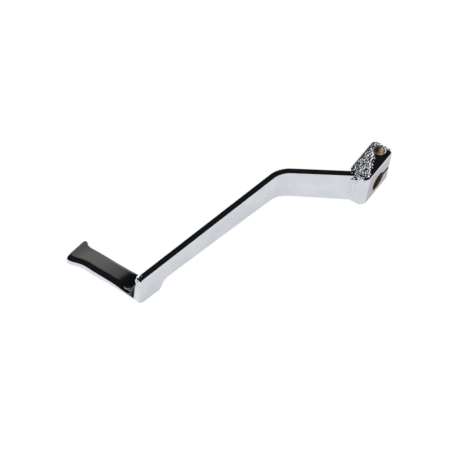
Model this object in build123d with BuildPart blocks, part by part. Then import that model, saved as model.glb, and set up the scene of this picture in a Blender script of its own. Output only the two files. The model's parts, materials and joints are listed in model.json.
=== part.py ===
from build123d import *
import os
from math import cos, pi, radians, sin, sqrt

# Motorcycle gear shift lever: a flat steel bar, bent once, with a splined clamp boss welded
# to its rear end and a toe tread welded to its front end, all chrome plated.
#
# Frame: the origin is on the spline bore's axis, at the boss's mid thickness.
# +X runs towards the clamp's split end, -X along the lever to the toe.
# +Y points outboard, the side the toe tread sticks out on.  +Z is up.

# ---- driving dimensions, mm ----

# splined clamp boss
BOSS_NEAR_X = -14.0
BOSS_FAR_X = 14.1
BOSS_THICKNESS = 12.8
BOSS_TOP_Z = 12.0
BOSS_BOTTOM_Z = -7.8
BOSS_CORNER_R = 4.0
BOSS_TOP_EDGE_R = 1.1
BOSS_BOTTOM_EDGE_R = 0.6

# serrated bore for the gear shaft
SPLINE_TEETH = 30
SPLINE_MINOR_R = 5.05
SPLINE_MAJOR_R = 6.0
TOOTH_LAND_SHARE = 0.46
GROOVE_FLOOR_SHARE = 0.08

# clamp split and pinch-bolt hole
SPLIT_HEIGHT = 2.8
SPLIT_Z = 1.0
PINCH_HOLE_X = 8.8
PINCH_HOLE_R = 3.1

# arm, a flat bar bent the easy way
BAR_THICKNESS = 3.5
ARM_START_X = -11.07
REAR_RUN = 41.2
REAR_ANGLE = 56.0
FRONT_RUN = 103.3
FRONT_ANGLE = 10.5
BEND_INNER_R = 13.0
BAR_EDGE_R = 0.45

# arm outline seen from the side; the pad is the deeper end that carries the tread
REAR_TOP_Z = 11.95
REAR_BOTTOM_Z = -7.8
SHOULDER_X = -117.3
SHOULDER_BOTTOM_Z = -4.4
SHOULDER_R = 4.0
PAD_X = -119.5
PAD_TOP_Z = 9.4
PAD_BOTTOM_Z = -10.6
PAD_HEEL_R = 1.2
PAD_TOE_R = 5.5
PAD_CREST_R = 2.5

# toe tread, a waisted plate with two ears at its free end; its near edge droops at its root
TREAD_THICKNESS = 2.5
TREAD_NEAR_X = -138.3
TREAD_FAR_X = -125.2
TREAD_NEAR_Z = 0.8
TREAD_FAR_Z = -1.2
TREAD_CROWN = 0.9
TREAD_END_Y = 92.6
EAR_NEAR = 1.7
EAR_FAR = 2.3
EAR_CORNER_R = 1.8
ROOT_TRIM = 6.0

# weld beads
BEAD_PITCH = 1.7
BOSS_BEAD_R = 2.4
TOE_BEAD_R = 1.9
BEAD_END_GAP = 0.7
BEAD_SINK = 0.3
INBOARD_BEAD_SHIFT = 1.1
OUTBOARD_BEAD_SHORTER = 1.2


# ---- arm ----

def along(start, angle, run):
    """The point a run away from start, heading to the toe at an angle off -X."""
    return (start[0] - run * cos(radians(angle)), start[1] + run * sin(radians(angle)))


arm_start = (ARM_START_X, 0.0)
arm_corner = along(arm_start, REAR_ANGLE, REAR_RUN)
arm_end = along(arm_corner, FRONT_ANGLE, FRONT_RUN)
outline_end_x = arm_end[0] - BAR_THICKNESS
bar_half = BAR_THICKNESS / 2
boss_half = BOSS_THICKNESS / 2
full_height = BOSS_TOP_Z - PAD_BOTTOM_Z

with BuildLine() as arm_path:
    Polyline(arm_start, arm_corner, arm_end)
    fillet(arm_path.vertices().sort_by_distance(arm_corner)[0], BEND_INNER_R + bar_half)

# the boss before it is bored and split, which the arm's end is coped to
with BuildPart() as boss_blank:
    with BuildSketch(Plane.XY.offset(BOSS_BOTTOM_Z)):
        with Locations(((BOSS_NEAR_X + BOSS_FAR_X) / 2, 0)):
            RectangleRounded(BOSS_FAR_X - BOSS_NEAR_X, BOSS_THICKNESS, BOSS_CORNER_R)
    extrude(amount=BOSS_TOP_Z - BOSS_BOTTOM_Z)

with BuildPart() as arm_bar:
    with BuildSketch(Plane.XY.offset(PAD_BOTTOM_Z)):
        trace(arm_path.line, BAR_THICKNESS)
    extrude(amount=full_height)
    with BuildSketch(Plane.XZ) as arm_outline:
        with BuildLine():
            Polyline(
                (0, REAR_TOP_Z),
                (outline_end_x, PAD_TOP_Z),
                (outline_end_x, PAD_BOTTOM_Z),
                (PAD_X, PAD_BOTTOM_Z),
                (SHOULDER_X, SHOULDER_BOTTOM_Z),
                (0, REAR_BOTTOM_Z),
                close=True,
            )
        make_face()
        for corner, corner_r in (
            ((PAD_X, PAD_BOTTOM_Z), PAD_HEEL_R),
            ((SHOULDER_X, SHOULDER_BOTTOM_Z), SHOULDER_R),
        ):
            fillet(arm_outline.vertices().sort_by_distance(corner)[0], corner_r)
    extrude(amount=2 * arm_end[1], both=True, mode=Mode.INTERSECT)
    for corner_z, corner_r in ((PAD_BOTTOM_Z, PAD_TOE_R), (PAD_TOP_Z, PAD_CREST_R)):
        fillet(arm_bar.edges().sort_by_distance((*arm_end, corner_z))[0], corner_r)
    # the bar's long edges and its end are eased all round
    rim = []
    for edge in arm_bar.edges():
        start, middle, end = edge @ 0, edge @ 0.5, edge @ 1
        off_centre = Vertex(middle.X, middle.Y, 0).distance_to(arm_path.line)
        runs_along = (Vector(start.X, start.Y) - Vector(end.X, end.Y)).length > BAR_EDGE_R
        if off_centre > bar_half / 2 and (runs_along or middle.X < PAD_X):
            rim.append(edge)
    fillet(rim, BAR_EDGE_R)
    add(boss_blank.part, mode=Mode.SUBTRACT)


# ---- clamp boss ----

def groove(teeth, minor_r, major_r):
    """Corners of one V groove, reaching a little inside the tooth tips' circle."""
    floor = pi * major_r * GROOVE_FLOOR_SHARE / teeth
    mouth = pi * minor_r * (1 - TOOTH_LAND_SHARE) / teeth
    inside_r = minor_r - (major_r - minor_r) / 2
    inside = mouth + (mouth - floor) / 2
    return ((inside_r, -inside), (major_r, -floor), (major_r, floor), (inside_r, inside))


with BuildPart() as clamp_boss:
    add(boss_blank.part)
    fillet(clamp_boss.edges().group_by(Axis.Z)[-1], BOSS_TOP_EDGE_R)
    fillet(clamp_boss.edges().group_by(Axis.Z)[0], BOSS_BOTTOM_EDGE_R)
    with BuildSketch(Plane.XZ.offset(-boss_half)):
        Circle(SPLINE_MINOR_R)
        with PolarLocations(0, SPLINE_TEETH):
            Polygon(*groove(SPLINE_TEETH, SPLINE_MINOR_R, SPLINE_MAJOR_R), align=None)
    extrude(amount=BOSS_THICKNESS, mode=Mode.SUBTRACT)
    # the split, from inside the bore out through the far end
    with Locations((BOSS_FAR_X, 0, SPLIT_Z)):
        Box(
            BOSS_FAR_X,
            BOSS_THICKNESS,
            SPLIT_HEIGHT,
            align=(Align.MAX, Align.CENTER, Align.CENTER),
            mode=Mode.SUBTRACT,
        )
    with Locations((PINCH_HOLE_X, 0, (BOSS_TOP_Z + BOSS_BOTTOM_Z) / 2)):
        Cylinder(PINCH_HOLE_R, BOSS_TOP_Z - BOSS_BOTTOM_Z, mode=Mode.SUBTRACT)


# ---- toe tread ----

def tread_stations():
    """Stations from the drooping root to the free end: y, near edge (x, z), far edge (x, z)."""
    near_x, far_x, near_z, far_z = TREAD_NEAR_X, TREAD_FAR_X, TREAD_NEAR_Z, TREAD_FAR_Z
    return (
        (50.6, (near_x + 6.0, near_z - 13.4), (far_x, far_z)),
        (53.6, (near_x + 4.2, near_z - 9.8), (far_x, far_z)),
        (56.2, (near_x + 1.9, near_z - 5.8), (far_x, far_z)),
        (59.2, (near_x + 0.3, near_z - 2.4), (far_x, far_z)),
        (63.2, (near_x, near_z - 0.8), (far_x, far_z)),
        (68.6, (near_x, near_z - 0.3), (far_x, far_z)),
        (76.6, (near_x, near_z), (far_x, far_z)),
        (84.3, (near_x, near_z), (far_x, far_z)),
        (87.3, (near_x - EAR_NEAR * 0.5, near_z - 0.2), (far_x, far_z)),
        (89.3, (near_x - EAR_NEAR * 0.9, near_z - 0.4), (far_x + EAR_FAR * 0.25, far_z)),
        (90.8, (near_x - EAR_NEAR, near_z - 0.5), (far_x + EAR_FAR * 0.9, far_z - 0.1)),
        (TREAD_END_Y, (near_x - EAR_NEAR, near_z - 0.5), (far_x + EAR_FAR, far_z - 0.1)),
    )


with BuildPart() as toe_tread:
    for y, near, far in tread_stations():
        near_edge = Vector(*near)
        far_edge = Vector(*far)
        across = (far_edge - near_edge).normalized()
        up = Vector(-across.Y, across.X)
        crest = (near_edge + far_edge) * 0.5 + up * TREAD_CROWN
        drop = up * TREAD_THICKNESS
        with BuildSketch(Plane.XZ.offset(-y)):
            with BuildLine():
                ThreePointArc(near_edge, crest, far_edge)
                Line(far_edge, far_edge - drop)
                ThreePointArc(far_edge - drop, crest - drop, near_edge - drop)
                Line(near_edge - drop, near_edge)
            make_face()
    loft()
    # the root is cut to lie flat on the arm's outboard face
    arm_back = along(arm_end, FRONT_ANGLE + 90, bar_half)
    with Locations(Location((*arm_back, 0), (0, 0, -FRONT_ANGLE))):
        Box(
            FRONT_RUN,
            ROOT_TRIM,
            2 * full_height,
            align=(Align.CENTER, Align.MAX, Align.CENTER),
            mode=Mode.SUBTRACT,
        )
    # the ears' outer corners are rounded in plan
    ear_width = TREAD_FAR_X + EAR_FAR - TREAD_NEAR_X + EAR_NEAR
    with BuildSketch(Plane.XY.offset(PAD_BOTTOM_Z)):
        with Locations((TREAD_NEAR_X - EAR_NEAR, TREAD_END_Y)):
            RectangleRounded(ear_width, TREAD_END_Y, EAR_CORNER_R, align=(Align.MIN, Align.MAX))
    extrude(amount=full_height, mode=Mode.INTERSECT)


# ---- weld beads ----

def drops(seam):
    """Evenly spaced drops of weld metal along a seam of straight runs."""
    points = [seam[0]]
    for start, end in zip(seam, seam[1:]):
        count = max(1, round((end - start).length / BEAD_PITCH))
        points += [start + (end - start) * (step / count) for step in range(1, count + 1)]
    return points


def upright(corner, top_z):
    """An upright seam beside the boss, over a corner seen in plan."""
    bottom_z = REAR_BOTTOM_Z + BOSS_BEAD_R + BEAD_END_GAP
    return (Vector(corner.X, corner.Y, bottom_z), Vector(corner.X, corner.Y, top_z))


heading = Vector(-cos(radians(REAR_ANGLE)), sin(radians(REAR_ANGLE)))
bead_top_z = REAR_TOP_Z - BOSS_BEAD_R - BEAD_END_GAP

# where the arm's inboard face meets the boss's flat end
inboard = Vector(*along(arm_start, REAR_ANGLE - 90, bar_half))
inboard_corner = inboard + heading * ((inboard.X - BOSS_NEAR_X) / -heading.X)
inboard_seam = upright(inboard_corner + Vector(INBOARD_BEAD_SHIFT, BEAD_SINK), bead_top_z)

# where the arm's outboard face leaves the boss's rounded corner
outboard = Vector(*along(arm_start, REAR_ANGLE + 90, bar_half))
round_centre = Vector(BOSS_NEAR_X + BOSS_CORNER_R, boss_half - BOSS_CORNER_R)
reach = (round_centre - outboard).dot(heading)
miss = (round_centre - outboard - heading * reach).length
outboard_corner = outboard + heading * (reach + sqrt(BOSS_CORNER_R**2 - miss**2))
outboard_seam = upright(
    outboard_corner + Vector(BEAD_SINK, -BEAD_SINK), bead_top_z - OUTBOARD_BEAD_SHORTER
)


def from_end(back, outboard, z):
    """A point a way back from the arm's end, and outboard of its middle."""
    return Vector(arm_end[0] + back, arm_end[1] + outboard, z)


# over the bar's upper end corner, down its end, and down its outboard face to the tread
crest_seam = (
    from_end(4.2, -0.4, 8.3),
    from_end(2.0, 0.0, 8.2),
    from_end(1.1, 0.0, 7.0),
    from_end(1.1, 0.2, 3.4),
    from_end(1.9, 1.5, 0.4),
    from_end(3.6, 1.5, -3.2),
)

# along the tread's upper side, where its root meets the arm
root_seam = (from_end(7.8, 0.7, -1.9), from_end(10.4, 0.25, -0.5))

with BuildPart() as boss_weld_inboard:
    with Locations(*drops(inboard_seam)):
        Sphere(BOSS_BEAD_R)
    add(arm_bar.part, mode=Mode.SUBTRACT)
    add(boss_blank.part, mode=Mode.SUBTRACT)

with BuildPart() as boss_weld_outboard:
    with Locations(*drops(outboard_seam)):
        Sphere(BOSS_BEAD_R)
    add(arm_bar.part, mode=Mode.SUBTRACT)
    add(boss_blank.part, mode=Mode.SUBTRACT)

with BuildPart() as toe_weld_crest:
    with Locations(*drops(crest_seam)):
        Sphere(TOE_BEAD_R)
    add(arm_bar.part, mode=Mode.SUBTRACT)
    add(toe_tread.part, mode=Mode.SUBTRACT)

with BuildPart() as toe_weld_root:
    with Locations(*drops(root_seam)):
        Sphere(TOE_BEAD_R)
    add(arm_bar.part, mode=Mode.SUBTRACT)
    add(toe_tread.part, mode=Mode.SUBTRACT)


# ---- export ----

arm_bar.part.label = "arm_bar"
clamp_boss.part.label = "clamp_boss"
toe_tread.part.label = "toe_tread"
boss_weld_inboard.part.label = "boss_weld_inboard"
boss_weld_outboard.part.label = "boss_weld_outboard"
toe_weld_crest.part.label = "toe_weld_crest"
toe_weld_root.part.label = "toe_weld_root"

os.makedirs("parts", exist_ok=True)
export_step(arm_bar.part, "parts/arm_bar.step")
export_step(clamp_boss.part, "parts/clamp_boss.step")
export_step(toe_tread.part, "parts/toe_tread.step")
export_step(boss_weld_inboard.part, "parts/boss_weld_inboard.step")
export_step(boss_weld_outboard.part, "parts/boss_weld_outboard.step")
export_step(toe_weld_crest.part, "parts/toe_weld_crest.step")
export_step(toe_weld_root.part, "parts/toe_weld_root.step")
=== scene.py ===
import json
from math import cos, pi, radians, sin, sqrt, tan

import bpy
import numpy as np
from mathutils import Matrix, Vector


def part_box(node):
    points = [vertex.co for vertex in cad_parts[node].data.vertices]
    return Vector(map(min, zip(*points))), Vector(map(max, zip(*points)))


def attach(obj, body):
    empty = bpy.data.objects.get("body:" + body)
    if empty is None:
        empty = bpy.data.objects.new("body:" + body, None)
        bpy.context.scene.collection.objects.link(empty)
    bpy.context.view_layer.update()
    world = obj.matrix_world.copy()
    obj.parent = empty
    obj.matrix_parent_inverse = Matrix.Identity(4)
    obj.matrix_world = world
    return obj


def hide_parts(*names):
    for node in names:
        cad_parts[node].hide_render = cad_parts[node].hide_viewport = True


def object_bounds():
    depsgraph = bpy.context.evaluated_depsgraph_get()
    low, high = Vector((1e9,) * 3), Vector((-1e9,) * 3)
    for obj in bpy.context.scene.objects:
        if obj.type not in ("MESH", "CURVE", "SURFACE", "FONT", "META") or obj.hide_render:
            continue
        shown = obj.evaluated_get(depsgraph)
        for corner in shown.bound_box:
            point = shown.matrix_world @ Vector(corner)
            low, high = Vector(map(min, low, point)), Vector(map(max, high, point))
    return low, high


# Looks of a chrome-plated gear shift lever: a bent flat bar, a serrated clamp boss welded to
# its rear end and a toe tread welded to its front end. Shapes are worked out in mm in the
# part's own frame, and each mesh is scaled to metres as it is made.

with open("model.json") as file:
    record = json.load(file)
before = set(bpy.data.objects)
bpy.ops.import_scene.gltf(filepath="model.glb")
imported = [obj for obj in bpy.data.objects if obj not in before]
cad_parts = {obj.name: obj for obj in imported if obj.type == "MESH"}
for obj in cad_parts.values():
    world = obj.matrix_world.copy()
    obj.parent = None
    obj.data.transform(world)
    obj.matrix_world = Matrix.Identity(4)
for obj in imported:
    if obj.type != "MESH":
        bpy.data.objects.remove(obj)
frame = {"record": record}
cad_box = [list(corner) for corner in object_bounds()]

MM = 0.001


def cad_corners(node):
    """Lowest and highest corner of a CAD node, in mm."""
    return tuple(np.array(corner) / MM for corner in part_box(node))


boss_low, boss_high = cad_corners("clamp_boss")
tread_low, tread_high = cad_corners("toe_tread")
bar_low = cad_corners("arm_bar")[0]
mounts = {mount["name"]: mount for mount in frame["record"]["mounts"]}

# ---- sizes that the frame doesn't say, mm ----

BOSS_CORNER_R = 4.0
BOSS_TOP_EDGE_R = 1.1
BOSS_BOTTOM_EDGE_R = 0.6
BORE_R = mounts["spline_bore"]["dims"]["r_mm"]
GROOVE_DEPTH = 0.95
TEETH = 30
TOOTH_LAND = 0.46
GROOVE_FLOOR = 0.08
SPLIT_HALF = 1.4
SPLIT_Z = 1.0
TOOTH_EDGE_R = 0.15
SPLIT_EDGE_R = 0.3
HOLE_EDGE_R = 0.35
HOLE_R = mounts["pinch_bolt_hole"]["dims"]["r_mm"]
HOLE_X = mounts["pinch_bolt_hole"]["pos_m"][0] / MM

BAR_HALF = 1.75
BAR_DEPTH_IN_BOSS = 2.93
BAR_START = np.array((boss_low[0] + BAR_DEPTH_IN_BOSS, 0.0))
REAR_ANGLE = radians(56.0)
REAR_RUN = 41.2
FRONT_ANGLE = radians(10.5)
FRONT_RUN = 103.3
BEND_R = 14.75
BAR_RIM_R = 0.45
BAR_TOP = ((0.0, boss_high[2] - 0.05), (-140.4, 9.4))
SHOULDER = (-117.3, -4.4)
SHOULDER_R = 4.0
PAD_HEEL = (-119.5, bar_low[2])
PAD_HEEL_R = 1.2
PAD_TOE_R = 5.5
PAD_CREST_R = 2.5

TREAD_NEAR = (-138.3, 0.8)
TREAD_FAR = (-125.2, -1.2)
TREAD_ROOT_Y = 54.5
TREAD_HALF = 1.25
TREAD_RIM_R = 0.45
TREAD_CROWN = 0.9
ROLL_WIDTH = 3.3
ROLL_DROP = 0.75
LIP_WIDTH = 2.4
LIP_DEPTH = 1.25
FAR_EASE_WIDTH = 1.6
FAR_EASE_DROP = 0.22
EAR_CORNER_R = 1.8

BOSS_WELD_R = 2.4
CREST_WELD_R = 1.8
ROOT_WELD_R = 1.6
BOSS_DROP_PITCH = 1.5
TOE_DROP_PITCH = 1.4
WELD_SINK = 0.15
DROP_WANDER = 0.12
DROP_MELT = 0.35
# how far spatter lands from the end of its seam, and its radii
SPATTER_REACH = ((-1.6, -1.2, -1.6), (0.6, 0.4, 1.6))
SPATTER_R = (0.9, 1.5)

BOSS_MESH_STEP = 0.2
WELD_MESH_STEP = 0.16
BAR_ROWS = 30
TREAD_COLUMNS = 34
TREAD_ROWS = 110

# ---- small shape helpers ----


def waves(points, wavelength, seed, terms=24):
    """Smooth random waves between about -1 and 1 at each point, of about that wavelength."""
    random = np.random.default_rng(seed)
    direction = random.normal(size=(terms, 3))
    direction /= np.linalg.norm(direction, axis=1, keepdims=True)
    pitch = 2 * pi / (wavelength * random.uniform(0.6, 1.6, terms))
    phase = random.uniform(0, 2 * pi, terms)
    total = np.zeros(points.shape[:-1])
    for way, k, shift in zip(direction, pitch, phase):
        total += np.sin(points @ way * k + shift)
    return total / sqrt(terms)


def blend(value, low, high):
    """0 below low, 1 above high and a smooth step between."""
    share = np.clip((value - low) / (high - low), 0, 1)
    return share * share * (3 - 2 * share)


def smooth_max(a, b, k):
    """The larger of two distances, with the corner between them rounded."""
    h = np.maximum(k - np.abs(a - b), 0) / k
    return np.maximum(a, b) + h * h * k / 4


def smooth_min(a, b, k):
    return -smooth_max(-a, -b, k)


def make_mesh(name, points, faces, node):
    """A smooth-shaded piece from points in mm that stands for a CAD node."""
    mesh = bpy.data.meshes.new(name)
    mesh.from_pydata((np.asarray(points) * MM).tolist(), [], faces)
    mesh.validate()
    mesh.polygons.foreach_set("use_smooth", [True] * len(mesh.polygons))
    piece = bpy.data.objects.new(name, mesh)
    bpy.context.scene.collection.objects.link(piece)
    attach(piece, "root")
    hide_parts(node)
    return piece


def ripple(piece, height, wavelength, seed):
    """Moves a piece's surface in and out a little, along its normals."""
    mesh = piece.data
    count = len(mesh.vertices)
    place = np.zeros(count * 3)
    mesh.vertices.foreach_get("co", place)
    place = place.reshape(-1, 3)
    normal = np.zeros(count * 3)
    mesh.vertex_normals.foreach_get("vector", normal)
    lift = height * waves(place / MM, wavelength, seed) * MM
    place += normal.reshape(-1, 3) * lift[:, None]
    mesh.vertices.foreach_set("co", place.ravel())
    mesh.update()


# ---- a plate with rounded rims, from a grid of points on its middle surface ----

RIM_STEPS = 6
WALL_STEPS = 4


def plate(name, middle, normal, half, rim_r, node, sag=0.0, lip=0.0):
    """A closed plate: middle is a grid of points inset rim_r from the plate's outline,
    its rows by its columns point along normal, sag is how much its top side is lowered,
    and lip is how much its under side is."""
    rows, columns = middle.shape[:2]
    index = np.arange(rows * columns).reshape(rows, columns)
    loop = np.concatenate((index[:, 0], index[-1, 1:], index[-2::-1, -1], index[0, -2:0:-1]))
    flat_middle = middle.reshape(-1, 3)
    flat_normal = normal.reshape(-1, 3)
    edge = flat_middle[loop]
    edge_normal = flat_normal[loop]
    tangent = np.roll(edge, -1, 0) - np.roll(edge, 1, 0)
    out = np.cross(tangent, edge_normal)
    out /= np.linalg.norm(out, axis=1, keepdims=True)
    top = half - np.broadcast_to(sag, (rows, columns)).ravel()
    under = half + np.broadcast_to(lip, (rows, columns)).ravel()
    points = [flat_middle + flat_normal * top[:, None], flat_middle - flat_normal * under[:, None]]
    turns = pi / 2 * np.arange(1, RIM_STEPS + 1) / RIM_STEPS
    over_wall = top[loop] - rim_r
    under_wall = rim_r - under[loop]
    levels = [(rim_r * sin(turn), over_wall + rim_r * cos(turn)) for turn in turns]
    for share in np.arange(1, WALL_STEPS) / WALL_STEPS:
        levels.append((rim_r, over_wall * (1 - share) + under_wall * share))
    levels += [
        (rim_r * sin(turn), under_wall - rim_r * cos(turn))
        for turn in turns[::-1]
    ]
    rings = [loop]
    start = 2 * rows * columns
    for reach, height in levels:
        points.append(edge + out * reach + edge_normal * height[:, None])
        rings.append(np.arange(start, start + len(loop)))
        start += len(loop)
    rings.append(loop + rows * columns)
    upper = np.stack((index[:-1, :-1], index[1:, :-1], index[1:, 1:], index[:-1, 1:]), -1)
    upper = upper.reshape(-1, 4)
    faces = [upper, upper[:, ::-1] + rows * columns]
    for over, under in zip(rings, rings[1:]):
        faces.append(np.stack((over, under, np.roll(under, -1), np.roll(over, -1)), -1))
    return make_mesh(name, np.concatenate(points), np.concatenate(faces).tolist(), node)


def filleted(corners, radii):
    """Dense points of a line through corners, rounded at its inner corners."""
    corners = [np.array(corner, float) for corner in corners]
    points = [corners[0]]
    for before, corner, after, radius in zip(corners, corners[1:], corners[2:], radii):
        back = (before - corner) / np.linalg.norm(before - corner)
        ahead = (after - corner) / np.linalg.norm(after - corner)
        middle = (back + ahead) / np.linalg.norm(back + ahead)
        half_angle = np.arccos(np.clip(back @ ahead, -1, 1)) / 2
        reach = radius / tan(half_angle)
        centre = corner + middle * (radius / sin(half_angle))
        start = corner + back * reach - centre
        end = corner + ahead * reach - centre
        total = np.arccos(np.clip(start @ end / radius**2, -1, 1))
        for share in np.linspace(0, 1, 40):
            turned = (start * sin((1 - share) * total) + end * sin(share * total)) / sin(total)
            points.append(centre + turned)
    points.append(corners[-1])
    return np.array(points)


def inset(line, distance):
    """A line moved sideways, to its left as it runs."""
    way = np.gradient(line, axis=0)
    way /= np.linalg.norm(way, axis=1, keepdims=True)
    return line + np.stack((-way[:, 1], way[:, 0]), -1) * distance


# ---- bar ----

turn_angle = REAR_ANGLE - FRONT_ANGLE
bend_reach = BEND_R * tan(turn_angle / 2)
rear_length = REAR_RUN - bend_reach
bend_length = BEND_R * turn_angle
bar_length = rear_length + bend_length + FRONT_RUN - bend_reach


def heading(angle):
    """Unit way towards the toe at an angle off -X, and the unit way outboard of it."""
    return np.array((-cos(angle), sin(angle))), np.array((sin(angle), cos(angle)))


def bar_place(run):
    """Plan position of the bar's centreline a run from its start, and its outboard normal."""
    way, outboard = heading(REAR_ANGLE)
    bend_start = BAR_START + way * rear_length
    if run <= rear_length:
        return BAR_START + way * run, outboard
    centre = bend_start - outboard * BEND_R
    if run <= rear_length + bend_length:
        way, outboard = heading(REAR_ANGLE - (run - rear_length) / BEND_R)
        return centre + outboard * BEND_R, outboard
    way, outboard = heading(FRONT_ANGLE)
    return centre + outboard * BEND_R + way * (run - rear_length - bend_length), outboard


bar_end = bar_place(bar_length)[0]


def run_at(x):
    """How far along the bar's front run its centreline reaches x."""
    return bar_length - (x - bar_end[0]) / cos(FRONT_ANGLE)


def outline_run(corner):
    return np.array((run_at(corner[0]), corner[1]))


def build_bar():
    """The bar from inside the boss to its rounded end, with its rims eased."""
    run_samples = np.linspace(0, bar_length, 400)
    x_samples = np.array([bar_place(run)[0][0] for run in run_samples])
    slope = (SHOULDER[1] - boss_low[2]) / SHOULDER[0]
    under = np.stack((run_samples, boss_low[2] + slope * x_samples), -1)
    under = under[x_samples > SHOULDER[0] + 8]
    drop = filleted(
        (under[-1], outline_run(SHOULDER), outline_run(PAD_HEEL), (bar_length, PAD_HEEL[1])),
        (SHOULDER_R, PAD_HEEL_R),
    )
    under = inset(np.concatenate((under[:-1], drop)), BAR_RIM_R)
    top_slope = (BAR_TOP[1][1] - BAR_TOP[0][1]) / BAR_TOP[1][0]
    over = np.stack((run_samples, BAR_TOP[0][1] + top_slope * x_samples), -1)
    over = inset(over, -BAR_RIM_R)
    last = bar_length - BAR_RIM_R
    toe_r = PAD_TOE_R - BAR_RIM_R
    crest_r = PAD_CREST_R - BAR_RIM_R
    heel_run = run_at(PAD_HEEL[0])
    runs = np.concatenate((
        np.arange(0, heel_run - 7, 0.5),
        np.arange(heel_run - 7, heel_run + 2, 0.15),
        np.arange(heel_run + 2, last - toe_r - 0.25, 0.5),
        last - toe_r + toe_r * np.sin(np.linspace(0, pi / 2, 26)),
    ))
    low = np.interp(runs, under[:, 0], under[:, 1])
    high = np.interp(runs, over[:, 0], over[:, 1])
    for line, radius, way in ((low, toe_r, 1), (high, crest_r, -1)):
        past = np.clip((runs - (last - radius)) / radius, 0, 1)
        line += way * radius * (1 - np.sqrt(1 - past**2))
    rows = []
    normals = []
    for run, bottom, top in zip(runs, low, high):
        place, outboard = bar_place(run)
        heights = np.linspace(bottom, top, BAR_ROWS)
        rows.append([(place[0], place[1], z) for z in heights])
        normals.append([(outboard[0], outboard[1], 0)] * len(heights))
    return plate(
        "bar", np.array(rows), np.array(normals), BAR_HALF, BAR_RIM_R, "arm_bar"
    )


# ---- toe tread ----


def tread_stations():
    """Rows of y, near edge x and z, far edge x and z, from the drooping root to the free end."""
    (near_x, near_z), (far_x, far_z) = TREAD_NEAR, TREAD_FAR
    near_ear = near_x - tread_low[0]
    far_ear = tread_high[0] - far_x
    end = tread_high[1]
    return np.array((
        (50.6, near_x + 6.0, near_z - 13.4, far_x, far_z),
        (53.6, near_x + 4.2, near_z - 9.8, far_x, far_z),
        (56.2, near_x + 1.9, near_z - 5.8, far_x, far_z),
        (59.2, near_x + 0.3, near_z - 2.4, far_x, far_z),
        (63.2, near_x, near_z - 0.8, far_x, far_z),
        (68.6, near_x, near_z - 0.3, far_x, far_z),
        (76.6, near_x, near_z, far_x, far_z),
        (84.3, near_x, near_z, far_x, far_z),
        (87.3, near_x - near_ear * 0.5, near_z + 0.02, far_x, far_z),
        (89.3, near_x - near_ear * 0.9, near_z + 0.05, far_x + far_ear * 0.25, far_z - 0.05),
        (90.8, near_x - near_ear, near_z + 0.05, far_x + far_ear * 0.9, far_z - 0.3),
        (end, near_x - near_ear, near_z + 0.05, far_x + far_ear, far_z - 0.35),
    ))


def curve_through(x, known_x, known):
    """Smooth values at x on a curve through known points."""
    slope = np.gradient(known, known_x, axis=0)
    k = np.clip(np.searchsorted(known_x, x) - 1, 0, len(known_x) - 2)
    width = (known_x[k + 1] - known_x[k])[:, None]
    t = (x - known_x[k])[:, None] / width
    return (
        (2 * t**3 - 3 * t**2 + 1) * known[k]
        + (t**3 - 2 * t**2 + t) * width * slope[k]
        + (3 * t**2 - 2 * t**3) * known[k + 1]
        + (t**3 - t**2) * width * slope[k + 1]
    )


def build_tread():
    stations = tread_stations()
    end = tread_high[1] - TREAD_RIM_R
    corner_r = EAR_CORNER_R - TREAD_RIM_R
    way, outboard = heading(FRONT_ANGLE)
    arm_face = bar_end + outboard * (BAR_HALF - 0.5)
    shares = np.linspace(0, 1, TREAD_COLUMNS)
    root_line = np.full(TREAD_COLUMNS, TREAD_ROOT_Y)
    root = curve_through(root_line, stations[:, 0], stations[:, 1:])
    root_x = root[:, 0] * (1 - shares) + root[:, 2] * shares
    root_y = arm_face[1] + (root_x - arm_face[0]) * way[1] / way[0]
    straight = np.linspace(0, 1, TREAD_ROWS)[:, None] ** 1.2
    curved = end - corner_r + corner_r * np.sin(np.linspace(0, pi / 2, 18))[1:, None]
    y = np.concatenate((
        root_y + (end - corner_r - root_y) * straight,
        curved + 0 * root_y,
    ))
    shares = shares[::-1]

    def across_row(line, trim):
        """One row of the tread's middle surface, from its far edge to its near edge."""
        sides = curve_through(line, stations[:, 0], stations[:, 1:])
        near = np.stack((sides[:, 0], line, sides[:, 1]), -1)
        far = np.stack((sides[:, 2], line, sides[:, 3]), -1)
        width = np.linalg.norm(far - near, axis=1)
        across = (far - near) / width[:, None]
        up = np.stack((-across[:, 2], 0 * line, across[:, 0]), -1)
        step = trim + (width - 2 * trim) * shares
        # crowned, and rolled down towards its near edge and a little to the far one
        past_roll = np.maximum(1 - step / ROLL_WIDTH, 0)
        past_ease = np.maximum(1 - (width - step) / FAR_EASE_WIDTH, 0)
        drop = ROLL_DROP * blend(line, 57.0, 64.0) * (1 - np.sqrt(1 - past_roll**2))
        drop = drop + FAR_EASE_DROP * (1 - blend(line, 70.0, 78.0)) * past_ease**1.5
        past_lip = blend(np.maximum(1 - step / LIP_WIDTH, 0), 0.0, 0.8)
        lip = LIP_DEPTH * blend(line, 53.0, 78.0) * past_lip
        rise = TREAD_CROWN * blend(step, -1.5, 3.0) * (1 - step / width)
        return near + across * step[:, None] + up * (rise - TREAD_HALF)[:, None], drop, lip

    smooth_rows = np.array([across_row(line, TREAD_RIM_R)[0] for line in y[:, ::-1]])
    rows = []
    for line in y[:, ::-1]:
        past = np.clip((line - (end - corner_r)) / corner_r, 0, 1)
        rows.append(across_row(line, TREAD_RIM_R + corner_r * (1 - np.sqrt(1 - past**2))))
    # the ears' corners are trimmed off a surface whose normals ignore the trimming
    normal = np.cross(np.gradient(smooth_rows, axis=0), np.gradient(smooth_rows, axis=1))
    normal /= np.linalg.norm(normal, axis=2, keepdims=True)
    middle, sag, lip = (np.array(part) for part in zip(*rows))
    return plate(
        "tread", middle, normal, TREAD_HALF, TREAD_RIM_R, "toe_tread", sag, lip
    )


# ---- solids given by distance, meshed as quads ----

FAR_OFF = 1e9


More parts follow.
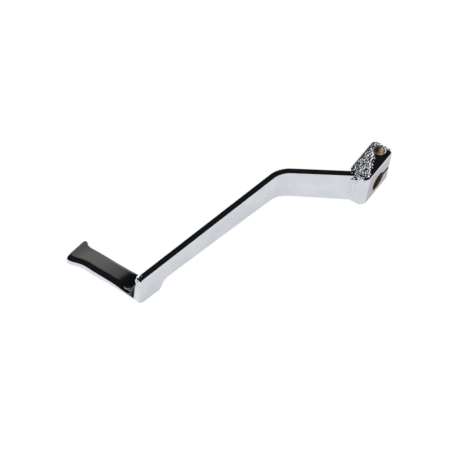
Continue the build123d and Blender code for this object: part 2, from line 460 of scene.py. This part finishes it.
def quad_surface(distance, low, high, step):
    """Points and quads of the surface where distance is zero, between two corners."""
    axes = [np.arange(a - 2 * step, b + 3 * step, step) for a, b in zip(low, high)]
    grid = np.meshgrid(*axes, indexing="ij", sparse=True)
    value = distance(*grid)
    shape = tuple(n - 1 for n in value.shape)
    total = np.zeros(shape + (3,))
    hits = np.zeros(shape)
    crossings = []
    for axis in range(3):
        ahead = np.moveaxis(value, axis, 0)
        first, second = ahead[:-1], ahead[1:]
        cut = (first < 0) != (second < 0)
        share = np.where(cut, first / np.where(cut, first - second, 1), 0)
        cut = np.moveaxis(cut, 0, axis)
        share = np.moveaxis(share, 0, axis)
        others = [other for other in range(3) if other != axis]
        for shift_a in (0, 1):
            for shift_b in (0, 1):
                pick = [slice(None)] * 3
                pick[others[0]] = slice(shift_a, shift_a + shape[others[0]])
                pick[others[1]] = slice(shift_b, shift_b + shape[others[1]])
                here = cut[tuple(pick)]
                hits += here
                total[..., axis] += here * share[tuple(pick)]
                total[..., others[0]] += here * shift_a
                total[..., others[1]] += here * shift_b
        crossings.append((cut, others))
    used = hits > 0
    number = np.full(shape, -1)
    number[used] = np.arange(used.sum())
    cell = np.argwhere(used)
    origin = np.array([axis[0] for axis in axes])
    points = origin + (cell + total[used] / hits[used][:, None]) * step
    faces = []
    for axis, (cut, others) in enumerate(crossings):
        place = np.argwhere(cut)
        for other in others:
            place = place[(place[:, other] > 0) & (place[:, other] < shape[other])]
        corners = []
        for shift_a, shift_b in ((1, 1), (0, 1), (0, 0), (1, 0)):
            near = place.copy()
            near[:, others[0]] -= shift_a
            near[:, others[1]] -= shift_b
            corners.append(number[tuple(near.T)])
        quads = np.stack(corners, -1)
        outward = value[tuple(place.T)] < 0
        if axis == 1:
            outward = ~outward
        quads[~outward] = quads[~outward][:, ::-1]
        faces.append(quads)
    return settle(points, distance, step), np.concatenate(faces)


def settle(points, distance, step):
    """Moves points that nearly lie on a smooth surface exactly onto it."""
    small = step * 0.05
    for _ in range(2):
        value = distance(*points.T)
        slope = np.stack([
            (distance(*(points + shift).T) - distance(*(points - shift).T)) / (2 * small)
            for shift in np.eye(3) * small
        ], -1)
        steep = (slope**2).sum(1)
        move = slope * (value / np.maximum(steep, 0.25))[:, None]
        move[np.abs(value) > step * 0.08] = 0
        points = points - move
    return points


# ---- clamp boss ----

boss_centre = (boss_low + boss_high) / 2
boss_half = (boss_high - boss_low) / 2


def boss_body(x, y, z):
    """Distance to the boss's block, before it is bored and split."""
    side_x = np.abs(x - boss_centre[0]) - boss_half[0] + BOSS_CORNER_R
    side_y = np.abs(y - boss_centre[1]) - boss_half[1] + BOSS_CORNER_R
    plan = np.hypot(np.maximum(side_x, 0), np.maximum(side_y, 0))
    plan = plan + np.minimum(np.maximum(side_x, side_y), 0) - BOSS_CORNER_R
    edge_r = np.where(z > boss_centre[2], BOSS_TOP_EDGE_R, BOSS_BOTTOM_EDGE_R)
    side = plan + edge_r
    cap = np.abs(z - boss_centre[2]) - boss_half[2] + edge_r
    return np.hypot(np.maximum(side, 0), np.maximum(cap, 0)) + np.minimum(
        np.maximum(side, cap), 0
    ) - edge_r


PEEN_PITCH = 0.98
PEEN_DEPTH = 0.40
PEEN_GRID = (34, 18)
PEEN_SCATTER = 0.42
PEEN_SINK = 0.16
PEEN_BOWL = (0.8, 1.6)
# the hammered skin's inboard edge slants outboard as it runs to the far end, and wanders
PEEN_EDGE = -0.72
PEEN_SLANT = 0.36
PEEN_EDGE_END = 1.2
PEEN_EDGE_WANDER = 0.7
# the skin fades out over these spans of x, y and z
PEEN_NEAR_END = (-12.4, -10.6)
PEEN_FAR_BAND = (11.6, 12.6)
PEEN_OUTBOARD = (4.5, 5.5)
PEEN_TOP = (9.6, 10.8)
# the top slopes down over its far end, and weld heat has left lumps under its near rim
FAR_SLOPE = 0.45
FAR_SLOPE_START = 11.2
NEAR_LUMPS = 0.22
NEAR_LUMP_SIZE = 1.3
NEAR_RIM_X = (12.0, 12.8)
NEAR_RIM_Z = (7.9, 9.6)


def peening(x, y, z):
    """Depth of the hammered skin on the boss's outboard top: overlapping round dents."""
    random = np.random.default_rng(7)
    columns, rows = PEEN_GRID
    nudge = random.uniform(-PEEN_SCATTER, PEEN_SCATTER, (columns, rows, 2)) * PEEN_PITCH
    sink = random.uniform(0, PEEN_SINK, (columns, rows))
    bowl = random.uniform(*PEEN_BOWL, (columns, rows))
    column = np.round(x / PEEN_PITCH).astype(int)
    row = np.round(y / PEEN_PITCH).astype(int)
    deep = np.full(np.broadcast(x, y).shape, FAR_OFF)
    for step_c in (-1, 0, 1):
        for step_r in (-1, 0, 1):
            c = np.clip(column + step_c + columns // 2, 0, columns - 1)
            r = np.clip(row + step_r + rows // 2, 0, rows - 1)
            seed_x = (column + step_c) * PEEN_PITCH + nudge[c, r, 0]
            seed_y = (row + step_r) * PEEN_PITCH + nudge[c, r, 1]
            bowl_here = bowl[c, r] * ((x - seed_x) ** 2 + (y - seed_y) ** 2)
            deep = np.minimum(deep, bowl_here - sink[c, r])
    edge = np.minimum(PEEN_EDGE + PEEN_SLANT * x, PEEN_EDGE_END)
    edge = edge + PEEN_EDGE_WANDER * np.sin(x * 2.1) * np.sin(x * 0.9)
    where = blend(y, edge - 1.6, edge + 1.2)
    where = np.maximum(where, blend(x, *PEEN_FAR_BAND))
    where = where * blend(z, *PEEN_TOP) * blend(x, *PEEN_NEAR_END)
    where = where * (1 - blend(y, *PEEN_OUTBOARD))
    plan = np.stack(np.broadcast_arrays(x, y, 0 * x), -1)
    grain = 0.045 * waves(plan, 0.8, 9) + 0.05 * waves(plan, 2.6, 10)
    far_slope = FAR_SLOPE * blend(x, FAR_SLOPE_START, boss_high[0]) * blend(z, 9.0, 11.0)
    skin = np.clip(PEEN_DEPTH - deep + grain, 0, 1) * where + far_slope
    near_rim = blend(-x, *NEAR_RIM_X) * blend(z, *NEAR_RIM_Z)
    solid = np.stack(np.broadcast_arrays(x + 0 * z, y + 0 * z, z + 0 * x), -1)
    lumps = np.clip(1 + waves(solid, NEAR_LUMP_SIZE, 17, 12), 0, 2)
    return skin + NEAR_LUMPS * lumps * near_rim


def boss_distance(x, y, z):
    """Distance to the hammered boss with its serrated bore, split and bolt hole."""
    body = boss_body(x, y, z) + peening(x, y, z)
    turn = np.arctan2(z, x) * TEETH / (2 * pi)
    off_tooth = 1 - np.abs(turn - np.round(turn)) * 2
    cut = np.clip((off_tooth - TOOTH_LAND) / (1 - TOOTH_LAND - GROOVE_FLOOR), 0, 1)
    bore = (BORE_R + GROOVE_DEPTH * cut - np.hypot(x, z)) * 0.7
    split = np.minimum(SPLIT_HALF - np.abs(z - SPLIT_Z), x)
    hole = HOLE_R - np.hypot(x - HOLE_X, y)
    body = smooth_max(body, bore + 0 * y, TOOTH_EDGE_R)
    body = smooth_max(body, split + 0 * y, SPLIT_EDGE_R)
    return smooth_max(body, hole + 0 * z, HOLE_EDGE_R)


def build_boss():
    points, faces = quad_surface(boss_distance, boss_low, boss_high, BOSS_MESH_STEP)
    return make_mesh("boss", points, faces.tolist(), "clamp_boss")


# ---- weld beads ----


def bar_distance(start, way, outboard, bottom, top, end):
    """Distance to a straight run of the bar."""
    def distance(x, y, z):
        side = (x - start[0]) * outboard[0] + (y - start[1]) * outboard[1]
        run = (x - start[0]) * way[0] + (y - start[1]) * way[1]
        flat = np.maximum(np.abs(side) - BAR_HALF, run - end)
        return np.maximum(flat + 0 * z, np.maximum(z - top, bottom - z) + 0 * flat)
    return distance


def bead(name, seam, radius, pitch, neighbours, node, seed, spatter=0, tail=1.0):
    """Weld metal laid drop by drop along a seam, outside the parts that it joins, in drops
    that shrink to a tail."""
    random = np.random.default_rng(seed)
    seam = [np.array(point, float) for point in seam]
    drops = []
    for run, (start, end) in enumerate(zip(seam, seam[1:])):
        count = max(1, round(np.linalg.norm(end - start) / pitch))
        for step in range(count + 1):
            wander = random.uniform(-DROP_WANDER, DROP_WANDER, 3)
            laid = (run + step / count) / (len(seam) - 1)
            size = radius * random.uniform(0.93, 1.0) * (1 + (tail - 1) * laid)
            drops.append((start + (end - start) * step / count + wander, size))
    for _ in range(spatter):
        wander = random.uniform(*SPATTER_REACH)
        drops.append((seam[-1] + wander, random.uniform(*SPATTER_R)))

    def distance(x, y, z):
        solid = np.full(np.broadcast(x, y, z).shape, FAR_OFF)
        for centre, size in drops:
            reach = np.sqrt(
                (x - centre[0]) ** 2 + (y - centre[1]) ** 2 + (z - centre[2]) ** 2
            )
            solid = smooth_min(solid, reach - size, DROP_MELT)
        for neighbour in neighbours:
            solid = np.maximum(solid, -WELD_SINK - neighbour(x, y, z))
        return solid

    low, high = cad_corners(node)
    points, faces = quad_surface(distance, low - 0.5, high + 0.5, WELD_MESH_STEP)
    return make_mesh(name, points, faces.tolist(), node)


rear_way, rear_outboard = heading(REAR_ANGLE)
front_way, front_outboard = heading(FRONT_ANGLE)
rear_bar = bar_distance(
    BAR_START, rear_way, rear_outboard, boss_low[2], boss_high[2], rear_length
)
front_bar = bar_distance(
    bar_end, front_way, front_outboard, bar_low[2], BAR_TOP[1][1], 0.0
)


def from_end(back, outboard, z):
    """A point a way back from the bar's end, and outboard of its middle."""
    return (bar_end[0] + back, bar_end[1] + outboard, z)


def build_welds():
    """The four beads: two up the boss, one over the bar's end and one behind the tread."""
    welds = []
    for name, node, seed in (
        ("weld_boss_inboard", "boss_weld_inboard", 11),
        ("weld_boss_outboard", "boss_weld_outboard", 12),
    ):
        low, high = cad_corners(node)
        if name == "weld_boss_inboard":
            # where the bar's inboard face leaves the boss's flat near end
            corner = BAR_START - rear_outboard * BAR_HALF
            corner = corner + rear_way * ((corner[0] - boss_low[0]) / -rear_way[0])
            place = corner + np.array((1.1, 0.3))
        else:
            # where its outboard face leaves the boss's rounded corner
            corner = BAR_START + rear_outboard * BAR_HALF
            centre = np.array((boss_low[0] + BOSS_CORNER_R, boss_high[1] - BOSS_CORNER_R))
            reach = (centre - corner) @ rear_way
            miss = np.linalg.norm(centre - corner - rear_way * reach)
            corner = corner + rear_way * (reach + sqrt(BOSS_CORNER_R**2 - miss**2))
            place = corner + np.array((0.3, -0.3))
        seam = ((*place, low[2] + BOSS_WELD_R), (*place, high[2] - BOSS_WELD_R))
        neighbours = (rear_bar, boss_body)
        welds.append(bead(
            name, seam, BOSS_WELD_R, BOSS_DROP_PITCH, neighbours, node, seed, spatter=7
        ))
    crest_seam = (
        from_end(2.3, 0.3, 8.0),
        from_end(1.3, 0.2, 7.0),
        from_end(1.1, 0.3, 3.4),
        from_end(1.9, 0.7, 0.4),
        from_end(3.6, 0.5, -3.2),
    )
    root_seam = (from_end(7.8, 0.5, -2.9), from_end(10.4, 0.1, -1.9))
    for name, seam, node, radius, tail, seed in (
        ("weld_toe_crest", crest_seam, "toe_weld_crest", CREST_WELD_R, 0.65, 13),
        ("weld_toe_root", root_seam, "toe_weld_root", ROOT_WELD_R, 1.0, 14),
    ):
        welds.append(bead(
            name, seam, radius, TOE_DROP_PITCH, (front_bar,), node, seed, tail=tail
        ))
    return welds


# ---- materials ----


def nodes_of(material):
    material.use_nodes = True
    tree = material.node_tree
    tree.nodes.clear()
    output = tree.nodes.new("ShaderNodeOutputMaterial")
    shader = tree.nodes.new("ShaderNodeBsdfPrincipled")
    tree.links.new(shader.outputs["BSDF"], output.inputs["Surface"])
    return tree, shader


def noise(tree, place, scale, detail, roughness=0.55):
    node = tree.nodes.new("ShaderNodeTexNoise")
    node.inputs["Scale"].default_value = scale
    node.inputs["Detail"].default_value = detail
    node.inputs["Roughness"].default_value = roughness
    tree.links.new(place, node.inputs["Vector"])
    return node.outputs["Fac"]


def ramp(tree, value, stops):
    node = tree.nodes.new("ShaderNodeValToRGB")
    elements = node.color_ramp.elements
    while len(elements) < len(stops):
        elements.new(0.5)
    for element, (place, colour) in zip(elements, stops):
        element.position = place
        element.color = (*colour, 1)
    tree.links.new(value, node.inputs["Fac"])
    return node.outputs["Color"]


def remap(tree, value, low, high, to_low, to_high):
    node = tree.nodes.new("ShaderNodeMapRange")
    for socket, number in (
        ("From Min", low), ("From Max", high), ("To Min", to_low), ("To Max", to_high)
    ):
        node.inputs[socket].default_value = number
    tree.links.new(value, node.inputs["Value"])
    return node.outputs["Result"]


def math(tree, operation, first, second=None):
    node = tree.nodes.new("ShaderNodeMath")
    node.operation = operation
    for socket, value in zip(node.inputs, (first, second)):
        if isinstance(value, (int, float)):
            socket.default_value = value
        elif value is not None:
            tree.links.new(value, socket)
    return node.outputs["Value"]


def mix(tree, factor, first, second):
    node = tree.nodes.new("ShaderNodeMix")
    node.data_type = "RGBA"
    tree.links.new(factor, node.inputs["Factor"])
    for socket, value in ((node.inputs[6], first), (node.inputs[7], second)):
        if isinstance(value, tuple):
            socket.default_value = (*value, 1)
        else:
            tree.links.new(value, socket)
    return node.outputs[2]


def bump(tree, height, distance, under=None):
    node = tree.nodes.new("ShaderNodeBump")
    node.inputs["Distance"].default_value = distance
    tree.links.new(height, node.inputs["Height"])
    if under is not None:
        tree.links.new(under, node.inputs["Normal"])
    return node.outputs["Normal"]


def place_of(tree, turn=0.0, stretch=(1, 1, 1)):
    """Object coordinates, turned about Z and stretched."""
    coordinates = tree.nodes.new("ShaderNodeTexCoord")
    mapping = tree.nodes.new("ShaderNodeMapping")
    mapping.vector_type = "POINT"
    mapping.inputs["Rotation"].default_value = (0, 0, turn)
    mapping.inputs["Scale"].default_value = stretch
    tree.links.new(coordinates.outputs["Object"], mapping.inputs["Vector"])
    return mapping.outputs["Vector"]


CHROME_PALE = (0.64, 0.66, 0.69)
CHROME_COOL = (0.585, 0.61, 0.66)
# darker grey of the painted shade on the two bored faces
BORED_FACE_SHADE = (0.36, 0.345, 0.365)
# near-black colour of the painted shade in the tread's root
ROOT_PAINTED_SHADE = (0.003, 0.003, 0.0032)
SCRATCH_DEPTH = 1.5e-6
FROST = 0.30
BARE_BORE_R = 6.02


def chrome(name, orange_peel=4e-6):
    """Bright chrome plate: soft colour drift, orange peel, fine polishing lines and haze."""
    material = bpy.data.materials.new(name)
    tree, shader = nodes_of(material)
    place = place_of(tree)
    drift = noise(tree, place, 90, 3)
    colour = ramp(tree, drift, ((0.35, CHROME_COOL), (0.65, CHROME_PALE)))
    haze = noise(tree, place, 420, 5, 0.65)
    roughness = remap(tree, haze, 0.35, 0.75, 0.035, 0.13)
    lines = noise(tree, place_of(tree, FRONT_ANGLE, (60, 900, 900)), 1, 4)
    peel = noise(tree, place, 700, 2)
    normal = bump(tree, lines, SCRATCH_DEPTH)
    normal = bump(tree, peel, orange_peel, normal)
    tree.links.new(colour, shader.inputs["Base Color"])
    tree.links.new(roughness, shader.inputs["Roughness"])
    tree.links.new(normal, shader.inputs["Normal"])
    shader.inputs["Metallic"].default_value = 1.0
    return material, tree, shader, colour, roughness


def bore_steel(material, tree, shader, colour, roughness):
    """Bare, lightly rusted steel in the bore, the split and the bolt hole, under the plate."""
    place = place_of(tree)
    parts = tree.nodes.new("ShaderNodeSeparateXYZ")
    tree.links.new(place, parts.inputs["Vector"])
    x, y, z = parts.outputs

    def length(first, second):
        squares = (math(tree, "MULTIPLY", side, side) for side in (first, second))
        return math(tree, "SQRT", math(tree, "ADD", *squares))

    bore_r = length(x, z)
    hole_r = length(math(tree, "SUBTRACT", x, HOLE_X * MM), y)
    edge = (boss_half[1] - 0.35) * MM
    inside_y = remap(tree, math(tree, "ABSOLUTE", y), edge, edge + 0.3 * MM, 1, 0)
    in_bore = remap(tree, bore_r, BARE_BORE_R * MM, (BARE_BORE_R + 0.1) * MM, 1, 0)
    in_bore = math(tree, "MULTIPLY", in_bore, inside_y)
    in_hole = remap(tree, hole_r, (HOLE_R + 0.05) * MM, (HOLE_R + 0.15) * MM, 1, 0)
    below = remap(tree, z, (boss_high[2] - 1.1) * MM, (boss_high[2] - 0.7) * MM, 1, 0)
    in_hole = math(tree, "MULTIPLY", in_hole, below)
    from_split = math(tree, "ABSOLUTE", math(tree, "SUBTRACT", z, SPLIT_Z * MM))
    in_split = remap(tree, from_split, (SPLIT_HALF + 0.02) * MM, (SPLIT_HALF + 0.1) * MM, 1, 0)
    in_split = math(tree, "MULTIPLY", in_split, math(tree, "GREATER_THAN", x, 5.0 * MM))
    in_split = math(tree, "MULTIPLY", in_split, inside_y)
    bare = math(tree, "MAXIMUM", in_bore, math(tree, "MAXIMUM", in_hole, in_split))
    stain = noise(tree, place, 900, 6, 0.7)
    rust = ramp(tree, stain, (
        (0.3, (0.10, 0.065, 0.025)),
        (0.5, (0.27, 0.20, 0.10)),
        (0.72, (0.62, 0.54, 0.40)),
    ))
    drawn = noise(tree, place_of(tree, 0.0, (700, 700, 40)), 1, 3)
    streaks = ramp(tree, drawn, (
        (0.38, (0.06, 0.035, 0.012)),
        (0.50, (0.40, 0.27, 0.13)),
        (0.60, (0.95, 0.86, 0.70)),
    ))
    rust = mix(tree, in_hole, rust, streaks)
    rough = math(tree, "ADD", math(tree, "MULTIPLY", bare, 0.25), roughness)
    # the two bored faces, milled flat, are rougher than the rest, and their colour is darkened as
    # painted shade
    milled_and_shaded = remap(tree, math(tree, "ABSOLUTE", y), edge + 0.25 * MM, edge + 0.33 * MM, 0, 1)
    milled_and_shaded = math(tree, "MULTIPLY", milled_and_shaded, remap(tree, stain, 0.2, 0.6, 0.8, 1.0))
    # painted shade: the bored faces' colour is mixed towards a darker grey
    shaded_plate = mix(tree, milled_and_shaded, colour, BORED_FACE_SHADE)
    tree.links.new(mix(tree, bare, shaded_plate, rust), shader.inputs["Base Color"])
    rough = math(tree, "ADD", rough, math(tree, "MULTIPLY", milled_and_shaded, 0.12))
    # the plate is frosted over the hammered skin and the near end's rim
    edge_y = math(tree, "MULTIPLY", x, PEEN_SLANT)
    edge_y = math(tree, "ADD", edge_y, PEEN_EDGE * MM)
    edge_y = math(tree, "MINIMUM", edge_y, PEEN_EDGE_END * MM)
    frost = remap(tree, math(tree, "SUBTRACT", y, edge_y), -0.6 * MM, 1.0 * MM, 0, FROST)
    near = remap(tree, x, (boss_low[0] + 0.9) * MM, (boss_low[0] + 1.6) * MM, FROST, 0)
    past_near = remap(tree, x, (boss_low[0] + 2.4) * MM, (boss_low[0] + 3.6) * MM, 0, 1)
    frost = math(tree, "MAXIMUM", math(tree, "MULTIPLY", frost, past_near), near)
    frost = math(tree, "MULTIPLY", frost, remap(tree, z, 9.0 * MM, 10.6 * MM, 0, 1))
    rough = math(tree, "MAXIMUM", rough, frost)
    tree.links.new(rough, shader.inputs["Roughness"])
    metal = math(tree, "SUBTRACT", 1.0, math(tree, "MULTIPLY", bare, 0.45))
    tree.links.new(metal, shader.inputs["Metallic"])
    return material


def weld_tint(material, tree, shader, colour, roughness):
    """Duller plate over the weld's pitted skin."""
    place = place_of(tree)
    pits = noise(tree, place, 1500, 6, 0.7)
    dull = ramp(tree, pits, ((0.32, (0.28, 0.29, 0.34)), (0.46, (0.62, 0.64, 0.67))))
    tree.links.new(dull, shader.inputs["Base Color"])
    tree.links.new(remap(tree, pits, 0.3, 0.7, 0.05, 0.16), shader.inputs["Roughness"])
    return material


def root_shade(material, tree, shader, colour, roughness):
    """Painted shade: the tread's upper side is darkened to near black, and made less metallic, in
    the corner that it makes with the arm.
    """
    parts = tree.nodes.new("ShaderNodeSeparateXYZ")
    tree.links.new(place_of(tree), parts.inputs["Vector"])
    shade = remap(tree, parts.outputs["Y"], 55.0 * MM, 63.0 * MM, 1, 0)
    facing = tree.nodes.new("ShaderNodeSeparateXYZ")
    geometry = tree.nodes.new("ShaderNodeNewGeometry")
    tree.links.new(geometry.outputs["Normal"], facing.inputs["Vector"])
    shade = math(tree, "MULTIPLY", shade, remap(tree, facing.outputs["Z"], 0.15, 0.35, 0, 1))
    # painted shade: the colour is mixed to near black where the tread faces up near the arm
    tree.links.new(mix(tree, shade, colour, ROOT_PAINTED_SHADE), shader.inputs["Base Color"])
    tree.links.new(remap(tree, shade, 0.8, 1.0, 1, 0), shader.inputs["Metallic"])
    shader.inputs["Specular IOR Level"].default_value = 0.08
    return material


def dress(piece, material):
    piece.data.materials.clear()
    piece.data.materials.append(material)


bar = build_bar()
ripple(bar, 0.012, 22.0, 3)
dress(bar, chrome("arm_plate")[0])

boss = build_boss()
dress(boss, bore_steel(*chrome("boss_plate")))

tread = build_tread()
ripple(tread, 0.010, 14.0, 5)
# the tread's root gets painted shade
dress(tread, root_shade(*chrome("tread_plate")))

weld_plate = weld_tint(*chrome("weld_plate", orange_peel=9e-6))
for weld in build_welds():
    ripple(weld, 0.03, 1.3, 21)
    dress(weld, weld_plate)

# ---- floor, light and camera ----


FLOOR_SIZE = 8.0
FLOOR_GLOW = 0.68
LIGHT_WAY = Vector((-0.50, 0.25, 0.90)).normalized()
LIGHT_STRENGTH = 4.2


def floor_material():
    """A plain pale floor, which holds the lever's soft shadow in what the plate reflects."""
    material = bpy.data.materials.new("floor_white")
    material.use_nodes = True
    tree = material.node_tree
    tree.nodes.clear()
    output = tree.nodes.new("ShaderNodeOutputMaterial")
    pale = tree.nodes.new("ShaderNodeBsdfDiffuse")
    pale.inputs["Color"].default_value = (0.86, 0.86, 0.86, 1)
    bright = tree.nodes.new("ShaderNodeEmission")
    path = tree.nodes.new("ShaderNodeLightPath")
    choose = tree.nodes.new("ShaderNodeMixShader")
    tree.links.new(path.outputs["Is Camera Ray"], choose.inputs["Fac"])
    even = tree.nodes.new("ShaderNodeMixShader")
    even.inputs["Fac"].default_value = FLOOR_GLOW
    tree.links.new(pale.outputs["BSDF"], even.inputs[1])
    tree.links.new(bright.outputs["Emission"], even.inputs[2])
    tree.links.new(even.outputs["Shader"], choose.inputs[1])
    tree.links.new(bright.outputs["Emission"], choose.inputs[2])
    tree.links.new(choose.outputs["Shader"], output.inputs["Surface"])
    return material


floor_z = cad_box[0][2]
bpy.ops.mesh.primitive_plane_add(size=FLOOR_SIZE, location=(0, 0, floor_z))
floor = bpy.context.object
floor.name = "floor"
floor.data.materials.append(floor_material())

lamp_data = bpy.data.lights.new("soft_light", "SUN")
lamp_data.energy = LIGHT_STRENGTH
lamp_data.angle = radians(50)
lamp = bpy.data.objects.new("soft_light", lamp_data)
lamp.rotation_mode = "QUATERNION"
lamp.rotation_quaternion = LIGHT_WAY.to_track_quat("Z", "Y")
lamp.visible_glossy = False
bpy.context.scene.collection.objects.link(lamp)

# the camera's place and its right, down and forward ways in the part's frame
CAMERA_PLACE = Vector((-0.79254, -0.30309, 0.95907))
CAMERA_RIGHT = Vector((0.53664, -0.83763, 0.10194))
CAMERA_DOWN = Vector((-0.61595, -0.47143, -0.63115))
CAMERA_FORWARD = Vector((0.57673, 0.27591, -0.76893))
CAMERA_LENS = 197.8

# what the plate reflects: a soft light panel on the left beyond the lever, and bright and
# dark bands of the room
PANEL_WAY = Vector((0.157, 0.893, 0.423))
PANEL_EDGE = cos(radians(36))
HORIZON = (1.0, 1.0, 1.0)
SOFTBOX = (1.7, 1.7, 1.72)
CEILING = (0.012, 0.012, 0.013)


def light_room():
    """The room by direction: a grey wall beyond the lever, dark above and behind the camera."""
    world = bpy.data.worlds.new("studio")
    bpy.context.scene.world = world
    world.use_nodes = True
    tree = world.node_tree
    tree.nodes.clear()
    output = tree.nodes.new("ShaderNodeOutputWorld")
    background = tree.nodes.new("ShaderNodeBackground")
    coordinates = tree.nodes.new("ShaderNodeTexCoord")
    way = coordinates.outputs["Generated"]
    parts = tree.nodes.new("ShaderNodeSeparateXYZ")
    tree.links.new(way, parts.inputs["Vector"])
    ahead = tree.nodes.new("ShaderNodeVectorMath")
    ahead.operation = "DOT_PRODUCT"
    level = Vector((CAMERA_FORWARD.x, CAMERA_FORWARD.y, 0)).normalized()
    ahead.inputs[1].default_value = level
    tree.links.new(way, ahead.inputs[0])
    wall = ramp(tree, parts.outputs["Z"], (
        (0.0, HORIZON),
        (0.01, SOFTBOX),
        (0.20, SOFTBOX),
        (0.27, (0.26, 0.26, 0.23)),
        (0.40, (0.25, 0.25, 0.22)),
        (0.63, CEILING),
    ))
    behind = ramp(tree, parts.outputs["Z"], (
        (0.0, HORIZON),
        (0.01, SOFTBOX),
        (0.14, SOFTBOX),
        (0.20, (0.22, 0.17, 0.10)),
        (0.30, CEILING),
    ))
    side = remap(tree, ahead.outputs["Value"], -0.1, 0.25, 0, 1)
    panel = tree.nodes.new("ShaderNodeVectorMath")
    panel.operation = "DOT_PRODUCT"
    panel.inputs[1].default_value = PANEL_WAY
    tree.links.new(way, panel.inputs[0])
    on_panel = remap(tree, panel.outputs["Value"], PANEL_EDGE - 0.02, PANEL_EDGE + 0.02, 0, 1)
    room = mix(tree, side, behind, wall)
    tree.links.new(mix(tree, on_panel, room, SOFTBOX), background.inputs["Color"])
    shown = tree.nodes.new("ShaderNodeBackground")
    shown.inputs["Color"].default_value = (1, 1, 1, 1)
    path = tree.nodes.new("ShaderNodeLightPath")
    choose = tree.nodes.new("ShaderNodeMixShader")
    tree.links.new(path.outputs["Is Camera Ray"], choose.inputs["Fac"])
    tree.links.new(background.outputs["Background"], choose.inputs[1])
    tree.links.new(shown.outputs["Background"], choose.inputs[2])
    tree.links.new(choose.outputs["Shader"], output.inputs["Surface"])


light_room()

camera_data = bpy.data.cameras.new("camera")
camera = bpy.data.objects.new("camera", camera_data)
bpy.context.scene.collection.objects.link(camera)
turn = Matrix((CAMERA_RIGHT, -CAMERA_DOWN, -CAMERA_FORWARD)).transposed()
camera.matrix_world = Matrix.Translation(CAMERA_PLACE) @ turn.to_4x4()
camera_data.sensor_width = 36.0
camera_data.lens = CAMERA_LENS
camera_data.clip_start = 0.05
camera_data.clip_end = 40.0
bpy.context.scene.camera = camera
bpy.context.scene.view_settings.view_transform = "Standard"
